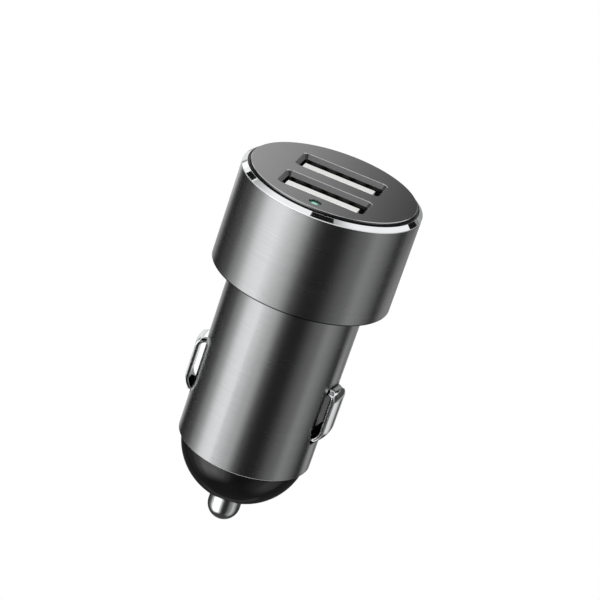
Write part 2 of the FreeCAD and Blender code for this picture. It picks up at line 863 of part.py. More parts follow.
def nose_cap():
    """Black dome that closes the barrel and guides the centre pin, with the spring's chamber inside it."""
    low = -S.barrel_length
    inner_radius = nose_radius - S.nose_wall
    spigot_bore = sleeve_radius - S.nose_wall
    pin_hole = S.pin_radius + S.running_gap
    dome_edge = chord_depth(nose_radius, nose_centre_z - low)
    hole_edge_z = nose_centre_z - chord_depth(nose_radius, pin_hole)
    inner_edge = chord_depth(inner_radius, nose_centre_z - low)
    boss_foot_z = nose_centre_z - chord_depth(inner_radius, boss_radius)
    seat_radius = disc_radius + S.press_gap
    corners = [
        (pin_hole, loose(hole_edge_z)),
        (dome_edge, low),
        (sleeve_radius, low),
        (sleeve_radius, nose_joint),
        (spigot_bore, nose_joint),
        (spigot_bore, low),
        (inner_edge, low),
        (boss_radius, loose(boss_foot_z)),
        (boss_radius, boss_top),
        (seat_radius, boss_top),
        (seat_radius, disc_low),
        (S.spring_chamber_radius, disc_low),
        (S.spring_chamber_radius, collar_seat),
        (pin_hole, collar_seat),
    ]
    arcs = {0: (0, nose_centre_z), 6: (0, nose_centre_z)}
    return turned("nose_cap", corners, arcs)


# Centre pin


def centre_pin():
    """Sprung tip of the plug: a round-ended pin with a collar that keeps it in the nose."""
    ball_z = pin_tip_z + S.pin_radius
    collar_radius = S.spring_chamber_radius - 2 * S.running_gap
    stem_top = collar_top + S.pin_stem_length
    corners = [
        (0, pin_tip_z),
        (loose(S.pin_radius), ball_z),
        (S.pin_radius, collar_seat),
        (collar_radius, collar_seat),
        (collar_radius, collar_top),
        (S.pin_stem_radius, collar_top),
        (S.pin_stem_radius, stem_top),
        (0, stem_top),
    ]
    return turned("centre_pin", corners, {0: (0, ball_z)})


def pin_spring():
    """Coil spring between the pin's collar and the positive terminal."""
    body = new_body("pin_spring")
    low = collar_top + S.spring_wire / 2
    wire = new_sketch(body, "spring_wire", "XZ_Plane")
    circle(wire, S.spring_wire / 2, S.spring_radius, low)
    coil = body.newObject("PartDesign::AdditiveHelix", "spring_coil")
    coil.Profile = wire
    coil.ReferenceAxis = (wire, ["V_Axis"])
    coil.Mode = 2
    coil.Turns = SPRING_TURNS
    bind(coil, "Height", disc_low - S.spring_wire / 2 - low)
    return body


def positive_terminal():
    """Brass disc that the spring presses on, with a lug soldered to the main board."""
    disc = doc.addObject("Part::Cylinder", "positive_disc")
    bind(disc, "Radius", disc_radius)
    bind(disc, "Height", S.positive_disc)
    place(disc, 0, 0, disc_low)
    lug = block("positive_lug", (board_face, S.positive_lug_width / -2, disc_low + S.positive_disc / 2),
                (S.positive_lug_thickness, S.positive_lug_width, S.positive_lug_height))
    return fused("positive_terminal", [disc, lug])


# Side contacts


def side_contact(name, turn, base_angle):
    """Bent steel strip, curved across like the barrel, with feet that stay behind the sleeve's wall."""
    body = new_body(name)
    strip = new_sketch(body, f"{name}_strip", "XZ_Plane")
    top, low = contact_top, contact_low
    under, over = top - S.contact_thickness, low + S.contact_thickness
    face, back = contact_outer, contact_back
    top_x, top_z = face - S.contact_top_bend, top - S.contact_top_bend
    low_x, low_z = low_bend_start, low + low_bend
    corners = [
        (foot_inner, under), (top_x, under),
        (loose(back), top_z), (back, low_z),
        (low_x, loose(over)), (foot_inner, over),
        (foot_inner, low - S.contact_foot), (foot_outer, low - S.contact_foot),
        (foot_outer, low), (low_x, low),
        (loose(face), low_z), (face, top_z),
        (top_x, loose(top)), (foot_outer, top),
        (foot_outer, top + S.contact_foot), (foot_inner, top + S.contact_foot),
    ]
    arcs = {1: (top_x, top_z), 3: (low_x, low_z), 9: (low_x, low_z), 11: (top_x, top_z)}
    outline(strip, corners, arcs)
    curved = body.newObject("PartDesign::Revolution", f"{name}_curved")
    curved.Profile = strip
    curved.ReferenceAxis = (strip, ["V_Axis"])
    curved.Midplane = True
    curved.Angle = STRIP_SWEEP
    trims = new_sketch(body, f"{name}_trims", "YZ_Plane")
    wide, slim = S.contact_width / 2, S.contact_neck_width / 2
    beyond = S.contact_foot + S.contact_thickness
    for side in (-1, 1):
        outline(trims, [
            (side * wide, low + S.contact_taper), (side * slim, low + S.contact_thickness / 2),
            (side * slim, low - beyond), (side * contact_outer, low - beyond),
            (side * contact_outer, top + beyond), (side * slim, top + beyond),
            (side * slim, top - S.contact_thickness / 2), (side * wide, top - S.contact_taper),
        ])
    pocket(body, trims, 2 * contact_outer, forward=True)
    body.Placement = FreeCAD.Placement(Vector(), FreeCAD.Rotation(UP, base_angle + turn.value))
    bind(body, "Placement.Rotation.Angle", base_angle + turn)
    return body


def ground_spring(name, side):
    """Leaf soldered to the main board that presses a side contact outwards and carries its current."""
    body = new_body(name)
    leaf = new_sketch(body, f"{name}_leaf", "XZ_Plane")
    tip_top = contact_top - S.contact_thickness / 2
    elbow = tip_top + S.ground_spring_rise
    pad_top = elbow + S.ground_spring_pad
    far_corner_y = foot_inner * magnitude(sine(S.contact_turn)) + S.ground_spring_width / 2
    tip_face = chord_depth(foot_inner - S.running_gap, far_corner_y)
    tip_back = tip_face - S.ground_spring_thickness
    front = board_face + S.ground_spring_thickness
    low, bend = tip_top - S.ground_spring_tip, tip_top + S.ground_spring_thickness
    corners = [
        (board_face, pad_top), (board_face, elbow), (tip_back, tip_top), (tip_back, low),
        (tip_face, low), (tip_face, bend), (front, elbow + S.ground_spring_thickness), (front, pad_top),
    ]
    outline(leaf, [(side * x, z) for x, z in corners])
    pad(body, leaf, S.ground_spring_width, midplane=True)
    return place(body, 0, foot_inner * sine(S.contact_turn), 0)


# Main board and its parts


def main_board():
    """Upright board in the barrel, with two tabs in the port board and a foot on the positive terminal."""
    body = new_body("main_board")
    shape = new_sketch(body, "main_board_outline", "YZ_Plane")
    foot = S.board_foot_width / 2
    inner_low, inner_high = port_middle_y - inner_tab_half, port_middle_y + inner_tab_half
    outline(shape, [
        (-board_half_width, board_foot_z), (-foot, board_foot_z), (-foot, boss_top), (foot, boss_top),
        (foot, board_foot_z), (board_half_width, board_foot_z), (board_half_width, port_board_top),
        (outer_tab_low, port_board_top), (outer_tab_low, board_top),
        (inner_high, board_top), (inner_high, port_board_top),
        (inner_low, port_board_top), (inner_low, board_top),
        (-board_half_width, board_top),
    ])
    pad(body, shape, S.main_board_thickness, midplane=True)
    return body


def risen(rise):
    """Height of what is placed up from the main board's foot."""
    return board_foot_z + rise


def dropped(drop):
    """Height of what is placed down from the main board's top."""
    return board_top - drop


def on_board(name, side, y, z, length, width, height):
    """Block standing on a face of the main board: length along Z, width along Y."""
    low_x = board_face if side > 0 else -board_face - height
    return block(name, (low_x, y - width / 2, z - length / 2), (height, width, length))


def inductor():
    """Shielded power inductor with cut corners."""
    body = new_body("inductor")
    shape = new_sketch(body, "inductor_outline", "YZ_Plane", board_face)
    half, cut = S.inductor_side / 2, S.inductor_side / 2 - S.inductor_corner
    middle = risen(S.inductor_rise)
    low, high = middle - half, middle + half
    outline(shape, [
        (-cut, low), (cut, low), (half, middle - cut), (half, middle + cut),
        (cut, high), (-cut, high), (-half, middle + cut), (-half, middle - cut),
    ])
    pad(body, shape, S.inductor_height)
    return body


def can_capacitor(name, side, y, z, radius, height):
    """Electrolytic can on a square base, lying across the barrel."""
    half = radius + S.can_groove / 2
    base = on_board(f"{name}_base", side, y, z, 2 * half, 2 * half, S.can_base)
    pieces = [base]
    groove_top = S.can_base + S.can_groove
    spans = ((S.can_base, groove_top, radius - S.can_groove), (groove_top, height, radius))
    for number, (low, high, can_radius) in enumerate(spans):
        can = doc.addObject("Part::Cylinder", f"{name}_can_{number}")
        can.Placement = FreeCAD.Placement(Vector(), FreeCAD.Rotation(Vector(0, 1, 0), 90 * side))
        bind(can, "Radius", can_radius)
        bind(can, "Height", high - low)
        place(can, side * (board_face + low), y, z)
        pieces.append(can)
    return fused(name, pieces)


def leaded_chip(name, side, y, z, size, pitch, count):
    """Moulded chip with a row of leads on each long side."""
    length, width, height = size
    pieces = [on_board(f"{name}_body", side, y, z, length, width, height)]
    for number in range(count):
        lead_z = z + (number - (count - 1) / 2) * pitch
        pieces.append(on_board(f"{name}_lead_{number}", side, y, lead_z, S.lead_width,
                               width + 2 * S.lead_reach, S.lead_thickness))
    return fused(name, pieces)


def end_capped(name, low, sides, cap, way):
    """Block lying along the axis numbered way, with a metal cap on each end that stands proud along Y."""
    pieces = [block(f"{name}_body", low, sides)]
    for number in (0, 1):
        cap_sides, cap_low = list(sides), list(low)
        cap_low[way] = low[way] + number * (sides[way] - cap)
        cap_sides[way] = cap
        cap_low[1] = low[1] - S.cap_proud
        cap_sides[1] = sides[1] + 2 * S.cap_proud
        pieces.append(block(f"{name}_cap_{number}", cap_low, cap_sides))
    return fused(name, pieces)


def capped_on_board(name, side, y, z, size, cap):
    """End-capped part on a face of the main board, lying along Z."""
    length, width, height = size
    low_x = board_face if side > 0 else -board_face - height
    return end_capped(name, (low_x, y - width / 2, z - length / 2), (height, width, length), cap, 2)


def small_parts(name, places, size, cap):
    """A group of like small parts on the -X face of the main board."""
    pieces = [capped_on_board(f"{name}_{number}", -1, y, risen(rise), size, cap)
              for number, (y, rise) in enumerate(places)]
    return grouped(name, pieces)


def build():
    """Every sub-part, in the order a bench would lay them out."""
    controller = (S.controller_length, S.controller_width, S.controller_height)
    manager = (S.manager_length, S.manager_width, S.manager_height)
    diode = (S.diode_length, S.diode_width, S.diode_height)
    fuse = (S.fuse_length, S.fuse_width, S.fuse_height)
    ceramic = (S.ceramic_length, S.ceramic_width, S.ceramic_height)
    resistor = (S.resistor_length, S.resistor_width, S.resistor_height)
    pieces = [head_shell(), trim_ring(), face_plate(), port_carrier()]
    for place_name, port_y in (("front", S.port_front_y), ("rear", port_rear_y)):
        pieces += [
            usb_shell(f"usb_shell_{place_name}", port_y),
            usb_insulator(f"usb_insulator_{place_name}", port_y),
            usb_terminals(f"usb_terminals_{place_name}", port_y),
        ]
    pieces += [
        light_guide(), led(), port_board(),
        barrel_shell(), insulating_sleeve(), nose_cap(),
        centre_pin(), pin_spring(), positive_terminal(),
        side_contact("side_contact_right", S.contact_turn, 0),
        side_contact("side_contact_left", -S.contact_turn, 180),
        ground_spring("ground_spring_right", 1),
        ground_spring("ground_spring_left", -1),
        main_board(), inductor(),
        can_capacitor("input_capacitor", -1, 0, dropped(S.input_can_drop), S.input_can_radius,
                      S.input_can_height),
        can_capacitor("output_capacitor", 1, S.output_can_y, dropped(S.output_can_drop), S.output_can_radius,
                      S.output_can_height),
        leaded_chip("buck_controller", 1, S.controller_y, dropped(S.controller_drop), controller,
                    S.lead_pitch, 4),
        leaded_chip("charge_manager", -1, 0, risen(S.manager_rise), manager, S.manager_lead_pitch, 3),
        capped_on_board("schottky_diode", 1, S.diode_y, risen(S.diode_rise), diode, S.end_cap),
        capped_on_board("input_fuse", -1, S.fuse_y, risen(S.fuse_rise), fuse, S.end_cap),
        small_parts("ceramic_capacitors", CERAMIC_PLACES, ceramic, S.ceramic_cap),
        small_parts("chip_resistors", RESISTOR_PLACES, resistor, S.resistor_cap),
    ]
    return pieces


def checked(pieces):
    """Stop if any object of the document failed or any sub-part is not a sound solid."""
    doc.recompute()
    for thing in doc.Objects:
        if "Invalid" in thing.State or "Error" in thing.State:
            raise RuntimeError(f"{thing.Name} failed: {thing.State}")
    for piece in pieces:
        if piece.Shape.isNull() or not piece.Shape.isValid() or not piece.Shape.Solids:
            raise RuntimeError(f"{piece.Label} is not a sound solid")
    return pieces


os.makedirs("parts", exist_ok=True)
for piece in checked(build()):
    piece.Shape.exportStep(f"parts/{piece.Label}.step")
    print(piece.Label, len(piece.Shape.Solids), round(piece.Shape.Volume, 3))
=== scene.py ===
"""Dresses the car USB charger plug and stands it in a studio.

The shells are turned gunmetal, the trim and the contacts polished, the face satin, and the inner parts
moulded or drawn.
"""
import json
import math

import bpy
from mathutils import Matrix, Vector


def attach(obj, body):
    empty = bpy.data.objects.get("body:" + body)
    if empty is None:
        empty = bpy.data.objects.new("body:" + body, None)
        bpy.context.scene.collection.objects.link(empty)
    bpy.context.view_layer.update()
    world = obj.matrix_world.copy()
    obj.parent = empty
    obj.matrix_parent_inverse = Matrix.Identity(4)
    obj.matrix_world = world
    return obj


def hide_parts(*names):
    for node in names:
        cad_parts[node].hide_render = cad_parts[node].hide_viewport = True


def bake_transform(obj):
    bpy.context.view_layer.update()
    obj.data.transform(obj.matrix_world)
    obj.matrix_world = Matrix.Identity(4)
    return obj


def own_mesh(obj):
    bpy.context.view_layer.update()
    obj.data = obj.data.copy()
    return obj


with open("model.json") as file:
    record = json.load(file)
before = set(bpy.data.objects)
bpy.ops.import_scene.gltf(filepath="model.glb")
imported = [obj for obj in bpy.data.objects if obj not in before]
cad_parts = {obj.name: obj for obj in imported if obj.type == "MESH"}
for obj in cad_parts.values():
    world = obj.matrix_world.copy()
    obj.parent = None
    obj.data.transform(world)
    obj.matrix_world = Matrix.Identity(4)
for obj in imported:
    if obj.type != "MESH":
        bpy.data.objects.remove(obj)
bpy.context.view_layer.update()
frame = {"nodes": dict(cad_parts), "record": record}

MM = 0.001
METALLIC = 1.0

# Camera, set against the photograph's outline: angles in degrees, and the lens in millimetres
CAMERA_AZIMUTH = 9.1
CAMERA_HEIGHT = 25.41
CAMERA_ROLL = 19.01
CAMERA_PAN = -0.74
CAMERA_TILT = 1.72
CAMERA_DISTANCE = 351.25 * MM
CAMERA_TARGET = Vector((0, 0, -15.67 * MM))
LENS_MM = 140.3
SENSOR_MM = 36
NEAREST_SEEN = 0.01
FARTHEST_SEEN = 10

# Places on the plug that a finish follows
LAMP_Y = -10.43 * MM
LAMP_EDGE_RADIUS = 1.3 * MM
MOUTH_Z = -28.60 * MM
# Where a painted shade line runs round the head's lower edge
HEAD_RIM_Z = 0.10 * MM
HEAD_RIM_REACH = 0.11 * MM
TRIM_LAND_Z = 15.33 * MM
# Where the barrel's recesses under the contacts get painted shade
RECESS_RADIUS = 10.42 * MM
RECESS_Z = -17.97 * MM
RECESS_HALF_HEIGHT = 6 * MM
# Above this height the sockets' steel gets painted shade, faded over the second length
SOCKET_SHADE_Z = 10.5 * MM
SOCKET_SHADE_FADE = 1.5 * MM


# Short ways to add nodes and objects


class Graph:
    """Adds nodes to one node tree and joins them."""

    def __init__(self, tree):
        self.tree = tree

    def add(self, kind, *values, **settings):
        """A new node with these settings, its first inputs fed in order."""
        node = self.tree.nodes.new(kind)
        for name, setting in settings.items():
            setattr(node, name, setting)
        for socket, value in zip(node.inputs, values):
            self.feed(socket, value)
        return node

    def feed(self, socket, value):
        """Join another node's output to a socket, or set the socket to a plain value."""
        if isinstance(value, bpy.types.NodeSocket):
            self.tree.links.new(value, socket)
        else:
            socket.default_value = value

    def feed_named(self, node, **values):
        """Feed a node's inputs by their names."""
        for label, value in values.items():
            self.feed(node.inputs[label], value)

    def show(self, shader, output="ShaderNodeOutputMaterial"):
        """Make a shader the surface of the material or of the world."""
        self.feed(self.add(output).inputs["Surface"], shader.outputs[0])

    def math(self, operation, *terms):
        return self.add("ShaderNodeMath", *terms, operation=operation).outputs[0]

    def parts_of(self, vector):
        return self.add("ShaderNodeSeparateXYZ", vector).outputs

    def vector(self, *parts):
        return self.add("ShaderNodeCombineXYZ", *parts).outputs[0]

    def radius(self, x, y):
        """How far (x, y) is from the middle."""
        return self.math("SQRT", self.math("ADD", self.math("MULTIPLY", x, x), self.math("MULTIPLY", y, y)))

    def place(self):
        """Where the shaded point is, in metres in the plug's own frame."""
        return self.add("ShaderNodeTexCoord").outputs["Object"]

    def facing(self):
        """The parts of the surface's own direction in the plug's frame."""
        return self.parts_of(self.add("ShaderNodeTexCoord").outputs["Normal"])

    def noise(self, vector, scale, detail, harshness):
        node = self.add("ShaderNodeTexNoise")
        self.feed_named(node, Vector=vector, Scale=scale, Detail=detail, Roughness=harshness)
        return node.outputs["Fac"]

    def span(self, value, low, high, out_low=0.0, out_high=1.0, smooth=False):
        """Turn the span from low to high into out_low to out_high, and hold it there outside."""
        easing = "SMOOTHSTEP" if smooth else "LINEAR"
        return self.add("ShaderNodeMapRange", value, low, high, out_low, out_high,
                        clamp=True, interpolation_type=easing).outputs[0]

    def between(self, share, first, second):
        """A number between first and second."""
        return self.span(share, 0, 1, first, second)

    def blend(self, share, first, second):
        """A colour between first and second."""
        node = self.add("ShaderNodeMix", data_type="RGBA")
        self.feed(node.inputs["Factor"], share)
        for socket, colour in zip((node.inputs[6], node.inputs[7]), (first, second)):
            self.feed(socket, rgba(colour))
        return node.outputs[2]

    def effect(self, tree, **values):
        """The outputs of one use of an effect group, with its own values."""
        node = self.add("ShaderNodeGroup", node_tree=tree)
        self.feed_named(node, **values)
        return node.outputs

    def relief(self, height, distance, strength, rounding=None):
        """The surface's direction over a fine relief, with its edges rounded where a radius is given."""
        node = self.add("ShaderNodeBump")
        self.feed_named(node, Height=height, Distance=distance, Strength=strength)
        if rounding is not None:
            self.feed(node.inputs["Normal"], self.effect(SOFT_EDGES, Radius=rounding)["Normal"])
        return node.outputs["Normal"]

    def seen(self):
        """1 for rays from the camera, a mirror or a clear part, and 0 for rays that light other surfaces."""
        path = self.add("ShaderNodeLightPath").outputs
        straight = self.math("MAXIMUM", path["Is Camera Ray"], path["Is Glossy Ray"])
        return self.math("MAXIMUM", straight, path["Is Transmission Ray"])


def rgba(colour):
    """A colour with its alpha, from its three parts. A socket stays as it is."""
    return colour if isinstance(colour, bpy.types.NodeSocket) else (*colour, 1.0)


def shaded(colour, factor):
    """A colour made darker or paler."""
    return tuple(min(1.0, part * factor) for part in colour)


def empty_graph(owner):
    """The graph of a material or the world, with no nodes in it."""
    owner.use_nodes = True
    owner.node_tree.nodes.clear()
    return Graph(owner.node_tree)


def new_object(name, data):
    """An object of the scene with this mesh, lamp or camera."""
    thing = bpy.data.objects.new(name, data)
    bpy.context.scene.collection.objects.link(thing)
    return thing


# Effects that several finishes share


# Where nearly all of a noise lies
NOISE_RANGE = (0.3, 0.7)


def effect_group(name, inputs, outputs):
    """A new shader group with named number inputs, and outputs that are numbers or the Normal."""
    tree = bpy.data.node_groups.new(name, "ShaderNodeTree")
    for label, value in inputs.items():
        tree.interface.new_socket(label, in_out="INPUT", socket_type="NodeSocketFloat").default_value = value
    for label in outputs:
        kind = "NodeSocketVector" if label == "Normal" else "NodeSocketFloat"
        tree.interface.new_socket(label, in_out="OUTPUT", socket_type=kind)
    graph = Graph(tree)
    return tree, graph, graph.add("NodeGroupInput").outputs, graph.add("NodeGroupOutput").inputs


def make_turned_lines():
    """Fine lines round the plug's axis, as a lathe tool and an abrasive pad leave them."""
    tree, graph, given, out = effect_group("turned_lines", {"Pitch": 0.25 * MM}, ("Tone", "Height"))
    change_round_axis, fine_share, tone_range = 90.0, 0.5, (0.45, 1.05)
    x, y, z = graph.parts_of(graph.place())
    along = graph.math("DIVIDE", graph.math("ADD", z, graph.radius(x, y)), given["Pitch"])
    point = graph.vector(graph.math("MULTIPLY", x, change_round_axis),
                         graph.math("MULTIPLY", y, change_round_axis), along)
    coarse = graph.noise(point, scale=1.0, detail=2.0, harshness=0.6)
    fine = graph.noise(point, scale=3.0, detail=1.0, harshness=0.5)
    both = graph.math("ADD", coarse, graph.math("MULTIPLY", fine, fine_share))
    graph.feed(out["Tone"], graph.span(both, *tone_range))
    graph.feed(out["Height"], coarse)
    return tree


def make_soft_patches():
    """Broad, faint unevenness of a finish, as from handling and polishing."""
    tree, graph, given, out = effect_group("soft_patches", {"Size": 6 * MM}, ("Tone",))
    scale = graph.math("DIVIDE", 1.0, given["Size"])
    cloud = graph.noise(graph.place(), scale, detail=3.0, harshness=0.55)
    graph.feed(out["Tone"], graph.span(cloud, *NOISE_RANGE))
    return tree


def make_fine_grain():
    """The tiny pits of a blasted metal, a spark-eroded mould or a fired ceramic."""
    tree, graph, given, out = effect_group("fine_grain", {"Size": 0.12 * MM}, ("Tone", "Height"))
    scale = graph.math("DIVIDE", 1.0, given["Size"])
    pits = graph.noise(graph.place(), scale, detail=2.0, harshness=0.6)
    graph.feed(out["Tone"], graph.span(pits, *NOISE_RANGE))
    graph.feed(out["Height"], pits)
    return tree


def make_cut_edge():
    """A mask of the narrow slanted faces between walls and flats, where the finish is cut bare."""
    tree, graph, given, out = effect_group("cut_edge", {"Least": 0.55, "Most": 0.85}, ("Mask",))
    slant = graph.math("ABSOLUTE", graph.facing()[2])
    graph.feed(out["Mask"], graph.math("MULTIPLY", graph.math("GREATER_THAN", slant, given["Least"]),
                                       graph.math("LESS_THAN", slant, given["Most"])))
    return tree


def make_below_height():
    """A mask of what lies below a height on the plug's axis, with a fade to either side of it."""
    tree, graph, given, out = effect_group("below_height", {"Height": 0.0, "Fade": 0.005 * MM}, ("Mask",))
    low = graph.math("SUBTRACT", given["Height"], given["Fade"])
    high = graph.math("ADD", given["Height"], given["Fade"])
    graph.feed(out["Mask"], graph.span(graph.parts_of(graph.place())[2], low, high, 1.0, 0.0, smooth=True))
    return tree


def make_soft_edges():
    """The surface's direction with every sharp edge softened to a radius."""
    tree, graph, given, out = effect_group("soft_edges", {"Radius": 0.1 * MM}, ("Normal",))
    corner = graph.add("ShaderNodeBevel", samples=8)
    graph.feed(corner.inputs["Radius"], given["Radius"])
    graph.feed(out["Normal"], corner.outputs["Normal"])
    return tree


TURNED_LINES = make_turned_lines()
SOFT_PATCHES = make_soft_patches()
FINE_GRAIN = make_fine_grain()
CUT_EDGE = make_cut_edge()
BELOW_HEIGHT = make_below_height()
SOFT_EDGES = make_soft_edges()


# Finishes


def new_finish(name):
    """A material with an empty Principled BSDF, its graph and that shader's inputs."""
    material = bpy.data.materials.new(name)
    graph = empty_graph(material)
    shader = graph.add("ShaderNodeBsdfPrincipled")
    graph.show(shader)
    return material, graph, shader.inputs


def brushed_gunmetal():
    """Dark anodised aluminium brushed round the axis, with bare cut edges, a dull mouth, a painted shade line
    under the head's edge and painted shade in the recesses.
    """
    material, graph, shader = new_finish("brushed_gunmetal")
    # The second and third colours are painted shade: a dark line under the head's edge and darker recesses
    # under the contacts.
    bare, painted_rim_shade, painted_recess_shade = (0.80, 0.80, 0.81), (0.045, 0.045, 0.046), (0.12, 0.12, 0.122)
    edge_roughness, mouth_metallic = 0.16, 0.3
    lines = graph.effect(TURNED_LINES, Pitch=0.28 * MM)
    patches = graph.effect(SOFT_PATCHES, Size=7 * MM)["Tone"]
    edge = graph.effect(CUT_EDGE)["Mask"]
    x, y, height = graph.parts_of(graph.place())
    # Painted shade line round the head's lower edge
    rim = graph.math("COMPARE", height, HEAD_RIM_Z, HEAD_RIM_REACH)
    # Painted shade in the barrel's recesses
    recess = graph.math("MULTIPLY", graph.math("LESS_THAN", graph.radius(x, y), RECESS_RADIUS),
                        graph.math("COMPARE", height, RECESS_Z, RECESS_HALF_HEIGHT))
    body = graph.blend(lines["Tone"], (0.385, 0.388, 0.392), (0.415, 0.418, 0.422))
    for mask, shade in ((edge, bare), (rim, painted_rim_shade), (recess, painted_recess_shade)):
        body = graph.blend(mask, body, shade)
    graph.feed(shader["Base Color"], body)
    rough = graph.math("ADD", graph.between(lines["Tone"], 0.24, 0.27), graph.math("MULTIPLY", patches, 0.01))
    graph.feed(shader["Roughness"], graph.math("ADD", rough, graph.math("MULTIPLY", edge, edge_roughness)))
    ridges = graph.relief(lines["Height"], distance=0.003 * MM, strength=0.06, rounding=0.14 * MM)
    graph.feed(shader["Normal"], ridges)
    round_axis = graph.add("ShaderNodeTangent", direction_type="RADIAL", axis="Z").outputs[0]
    graph.feed(shader["Tangent"], round_axis)
    mouth = graph.effect(BELOW_HEIGHT, Height=MOUTH_Z)["Mask"]
    graph.feed(shader["Metallic"], graph.between(mouth, METALLIC, mouth_metallic))
    shader["Anisotropic"].default_value = 0.65
    shader["Anisotropic Rotation"].default_value = 0.25
    return material


def satin_face():
    """Dark anodised aluminium face with a fine blasted satin, a bare cut rim, duller recess walls and painted
    shade in the recesses' corners.
    """
    material, graph, shader = new_finish("satin_face")
    # The last colour is painted shade for the corners of the recesses.
    bare, wall_shade, painted_corner_shade = (0.55, 0.55, 0.56), (0.19, 0.19, 0.195), (0.03, 0.03, 0.03)
    corner_range, wall_metallic = (0.15, 0.40), 0.4
    grain = graph.effect(FINE_GRAIN, Size=0.10 * MM)
    patches = graph.effect(SOFT_PATCHES, Size=9 * MM)["Tone"]
    x, y, _ = graph.parts_of(graph.place())
    from_lamp = graph.radius(x, graph.math("SUBTRACT", y, LAMP_Y))
    off_lamp = graph.math("GREATER_THAN", from_lamp, LAMP_EDGE_RADIUS)
    edge = graph.math("MULTIPLY", graph.effect(CUT_EDGE, Least=0.62, Most=0.80)["Mask"], off_lamp)
    recess = graph.effect(CUT_EDGE, Least=0.30, Most=0.60)["Mask"]
    across, along, _ = graph.facing()
    # Painted shade where two recess walls meet
    corner = graph.math("MINIMUM", graph.math("ABSOLUTE", across), graph.math("ABSOLUTE", along))
    wall = graph.blend(graph.span(corner, *corner_range), wall_shade, painted_corner_shade)
    body = graph.blend(grain["Tone"], (0.185, 0.185, 0.19), (0.215, 0.215, 0.22))
    for mask, shade in ((recess, wall), (edge, bare)):
        body = graph.blend(mask, body, shade)
    graph.feed(shader["Base Color"], body)
    graph.feed(shader["Roughness"], graph.between(patches, 0.20, 0.23))
    graph.feed(shader["Normal"], graph.relief(grain["Height"], distance=0.002 * MM, strength=0.25))
    graph.feed(shader["Metallic"], graph.between(recess, METALLIC, wall_metallic))
    return material


def gloss_black():
    """Polished black moulding, with the faint ripple of its mould."""
    material, graph, shader = new_finish("gloss_black")
    patches = graph.effect(SOFT_PATCHES, Size=4 * MM)["Tone"]
    graph.feed(shader["Base Color"], graph.blend(patches, (0.004, 0.004, 0.0045), (0.007, 0.007, 0.0075)))
    graph.feed(shader["Roughness"], graph.between(patches, 0.07, 0.11))
    graph.feed(shader["Normal"], graph.relief(patches, distance=0.004 * MM, strength=0.3))
    return material


def green_lens():
    """Clear green light guide, dark green, with a painted pale highlight at its front that fades towards its
    back and sides.
    """
    material, graph, shader = new_finish("green_lens")
    # The pale colour is a painted highlight, not light from the chip.
    painted_highlight_colour, painted_highlight_depth = (0.50, 0.98, 0.80), 0.6 * MM
    left_end, right_end = (-0.65 * MM, -0.35 * MM), (0.15 * MM, 0.55 * MM)
    patches = graph.effect(SOFT_PATCHES, Size=1.2 * MM)["Tone"]
    x, y, _ = graph.parts_of(graph.place())
    # Painted highlight: pale at the lens's front, fading towards its back and sides
    front = graph.span(y, LAMP_Y, LAMP_Y + painted_highlight_depth, 1.0, 0.05, smooth=True)
    right_fade = graph.span(x, *right_end, 1.0, 0.2, smooth=True)
    left_fade = graph.span(x, *left_end, smooth=True)
    glow = graph.math("MULTIPLY", front, graph.math("MULTIPLY", right_fade, left_fade))
    body = graph.blend(patches, (0.004, 0.060, 0.042), (0.008, 0.090, 0.062))
    graph.feed(shader["Base Color"], graph.blend(glow, body, painted_highlight_colour))
    graph.feed(shader["Roughness"], graph.between(patches, 0.10, 0.16))
    shader["Transmission Weight"].default_value = 0.15
    return material


def green_board():
    """Glass fibre board under green lacquer, with tracks that show through it."""
    material, graph, shader = new_finish("green_board")
    track_spacing, track_width = 0.9 * MM, 0.22 * MM
    track_shade, track_cover = (0.09, 0.36, 0.18), 0.6
    weave = graph.effect(FINE_GRAIN, Size=0.3 * MM)
    x, y, z = graph.parts_of(graph.place())
    lane = graph.math("PINGPONG", graph.math("ADD", graph.math("ADD", x, y), z), track_spacing)
    track = graph.math("LESS_THAN", lane, track_width)
    flat = graph.blend(weave["Tone"], (0.020, 0.17, 0.085), (0.032, 0.24, 0.125))
    shown = graph.math("MULTIPLY", track, track_cover)
    graph.feed(shader["Base Color"], graph.blend(shown, flat, track_shade))
    graph.feed(shader["Roughness"], graph.between(weave["Tone"], 0.28, 0.36))
    graph.feed(shader["Normal"], graph.relief(track, distance=0.02 * MM, strength=0.5))
    return material


def moulded_plastic(name, colour, roughness, grain_size, grain_depth, paler):
    """Plastic from a textured mould, with a slightly uneven sheen."""
    material, graph, shader = new_finish(name)
    patch_roughening = 0.08
    grain = graph.effect(FINE_GRAIN, Size=grain_size)
    patches = graph.effect(SOFT_PATCHES, Size=5 * MM)["Tone"]
    graph.feed(shader["Base Color"], graph.blend(grain["Tone"], colour, shaded(colour, paler)))
    graph.feed(shader["Roughness"], graph.between(patches, roughness, roughness + patch_roughening))
    graph.feed(shader["Normal"], graph.relief(grain["Height"], grain_depth, strength=0.4))
    return material


def polished_plating(name, colour, roughness, line_pitch, rounding, dull_below=None):
    """Bright plating with the faint lines of its last polish and softened edges, dull below a height."""
    material, graph, shader = new_finish(name)
    patch_shade, line_roughening, dull_metallic = 0.96, 1.6, 0.35
    lines = graph.effect(TURNED_LINES, Pitch=line_pitch)
    patches = graph.effect(SOFT_PATCHES, Size=3 * MM)["Tone"]
    graph.feed(shader["Base Color"], graph.blend(patches, shaded(colour, patch_shade), colour))
    graph.feed(shader["Roughness"], graph.between(lines["Tone"], roughness, roughness * line_roughening))
    ridges = graph.relief(lines["Height"], distance=0.001 * MM, strength=0.3, rounding=rounding)
    graph.feed(shader["Normal"], ridges)
    shader["Metallic"].default_value = METALLIC
    if dull_below is not None:
        dull = graph.effect(BELOW_HEIGHT, Height=dull_below)["Mask"]
        graph.feed(shader["Metallic"], graph.between(dull, METALLIC, dull_metallic))
    return material


